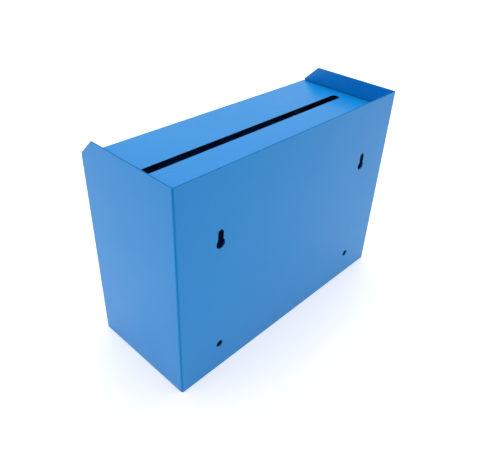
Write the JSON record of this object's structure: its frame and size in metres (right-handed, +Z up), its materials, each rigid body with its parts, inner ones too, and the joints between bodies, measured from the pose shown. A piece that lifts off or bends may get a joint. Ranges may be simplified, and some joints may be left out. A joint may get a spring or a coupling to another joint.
{
  "type": "book drop box",
  "caption": "Wall-mounted drop box in folded sheet steel, with a long slot in its recessed top and a hinged, cam-locked front door.",
  "frame": {"origin": "middle of the underside of the case, halfway between the front face and the rear wall", "axes": "+X to the lock side along the longest side, +Y out of the rear wall towards the wall it hangs on, +Z up"},
  "size_m": [0.248, 0.1251, 0.18],
  "materials": {
    "blue_powder_coat": "semi-gloss powder coat",
    "zinc_plate": "satin zinc plating",
    "lock_chrome": "polished nickel-chrome plating",
    "plug_brass": "machined",
    "key_nickel": "satin nickel plating"
  },
  "bodies": {
    "case": {"body_wrap": "blue_powder_coat", "top_plate": "blue_powder_coat", "bottom_plate": "blue_powder_coat", "door_stop": "blue_powder_coat", "hinge_leaf_body": "zinc_plate", "hinge_pin": "zinc_plate", "rivet_body_1": "zinc_plate", "rivet_body_2": "zinc_plate", "rivet_body_3": "zinc_plate"},
    "door": {"door_panel": "blue_powder_coat", "hinge_leaf_door": "zinc_plate", "rivet_door_1": "zinc_plate", "rivet_door_2": "zinc_plate", "rivet_door_3": "zinc_plate", "lock_housing": "lock_chrome", "lock_washer": "zinc_plate", "lock_nut": "zinc_plate"},
    "plug": {"lock_plug": "plug_brass", "turn_limiter": "zinc_plate", "lock_cam": "zinc_plate", "cam_washer": "zinc_plate", "cam_screw": "zinc_plate"},
    "key": {"key": "key_nickel"}
  },
  "joints": [
    {"name": "door_hinge", "type": "hinge", "parent": "case", "child": "door", "pos_m": [-0.1099, -0.0501, 0.0825], "axis": [0, 0, -1], "range_deg": [0, 110]},
    {"name": "lock_turn", "type": "hinge", "parent": "door", "child": "plug", "pos_m": [0.089, -0.05, 0.082], "axis": [0, -1, 0], "range_deg": [0, 90]},
    {"name": "key_slide", "type": "slide", "parent": "plug", "child": "key", "axis": [0, -1, 0], "range_m": [0, 0.014]}
  ]
}
